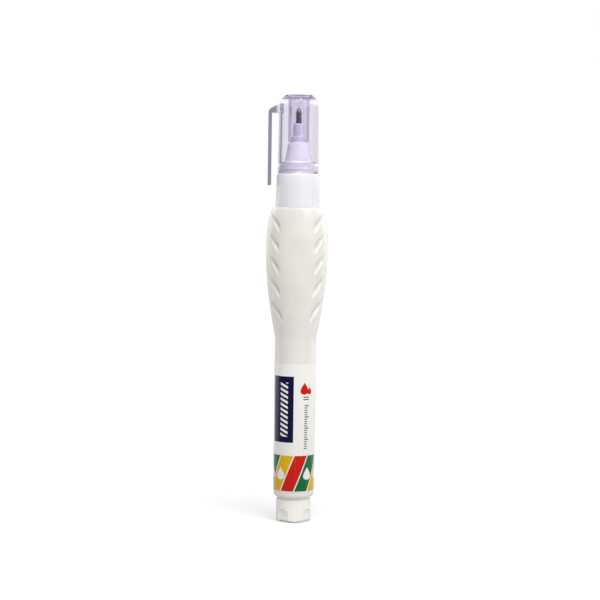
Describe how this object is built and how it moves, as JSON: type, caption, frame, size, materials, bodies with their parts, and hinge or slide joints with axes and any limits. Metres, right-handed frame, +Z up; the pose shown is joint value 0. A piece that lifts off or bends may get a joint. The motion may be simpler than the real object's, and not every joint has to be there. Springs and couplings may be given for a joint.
{
  "type": "correction pen",
  "caption": "Squeezable correction fluid pen standing on its end plug: waisted grip barrel with finger grooves, sprung needle tip, clear push-on cap with a side clip.",
  "frame": {"origin": "centre of the flat underside of the end plug, on which the pen stands", "axes": "+Z up the pen's axis to the cap; the clip is on the -X side; -Y is the front of the label"},
  "size_m": [0.0204, 0.0172, 0.14],
  "materials": {
    "barrel": "satin warm white polyethylene",
    "plug": "satin white polyethylene",
    "label": "printed film",
    "nozzle": "slightly translucent cool white polypropylene",
    "cap": "clear lavender polystyrene",
    "tip": "turned nickel-plated metal",
    "needle": "ground stainless steel",
    "valve_plastic": "natural polypropylene",
    "spring": "drawn stainless spring wire",
    "ball": "polished stainless steel"
  },
  "bodies": {
    "barrel_assembly": {"squeeze_barrel": "barrel", "end_plug": "plug", "label_wrap": "label", "nozzle_collar": "nozzle", "tip_ferrule": "tip", "spring_seat": "valve_plastic", "valve_spring": "spring"},
    "cap": {"cap": "cap"},
    "valve_needle": {"needle_pin": "needle", "needle_carrier": "valve_plastic"},
    "ball": {"mixing_ball": "ball"}
  },
  "joints": [
    {"name": "cap_pull", "type": "slide", "parent": "barrel_assembly", "child": "cap", "axis": [0, 0, 1], "range_m": [0, 0.04]},
    {"name": "tip_press", "type": "slide", "parent": "barrel_assembly", "child": "valve_needle", "axis": [0, 0, -1], "range_m": [0, 0.0005], "stiffness_N_per_m": 150, "springref_m": -0.001, "deforming": ["valve_spring"]},
    {"name": "ball_travel", "type": "slide", "parent": "barrel_assembly", "child": "ball", "axis": [0, 0, 1], "range_m": [0, 0.1049]}
  ]
}
